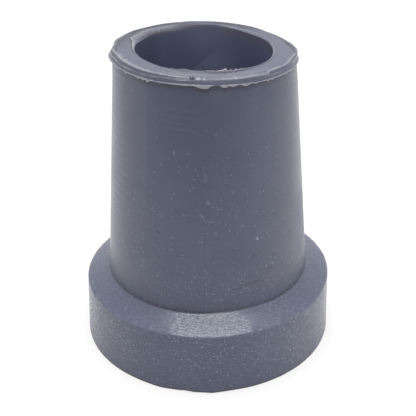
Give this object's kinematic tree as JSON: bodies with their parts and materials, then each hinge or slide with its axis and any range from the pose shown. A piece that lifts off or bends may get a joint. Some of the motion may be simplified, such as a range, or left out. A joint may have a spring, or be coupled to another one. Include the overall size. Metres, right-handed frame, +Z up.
{
  "type": "rubber cane tip",
  "caption": "Moulded rubber tip for a walking cane: a tapered sleeve with a blind bore on a wide round foot with a sloped shoulder.",
  "frame": {"origin": "centre of the sole, on the floor", "axes": "+Z up along the bore's axis, out of its mouth; +X to the low side of the slightly slanted rim; the pictured front faces -Y"},
  "size_m": [0.0388, 0.0388, 0.0459],
  "materials": {
    "rubber": "matt blue-grey moulded rubber with a fine dusty bloom"
  },
  "bodies": {
    "root": {"rubber_tip": "rubber"}
  },
  "joints": []
}
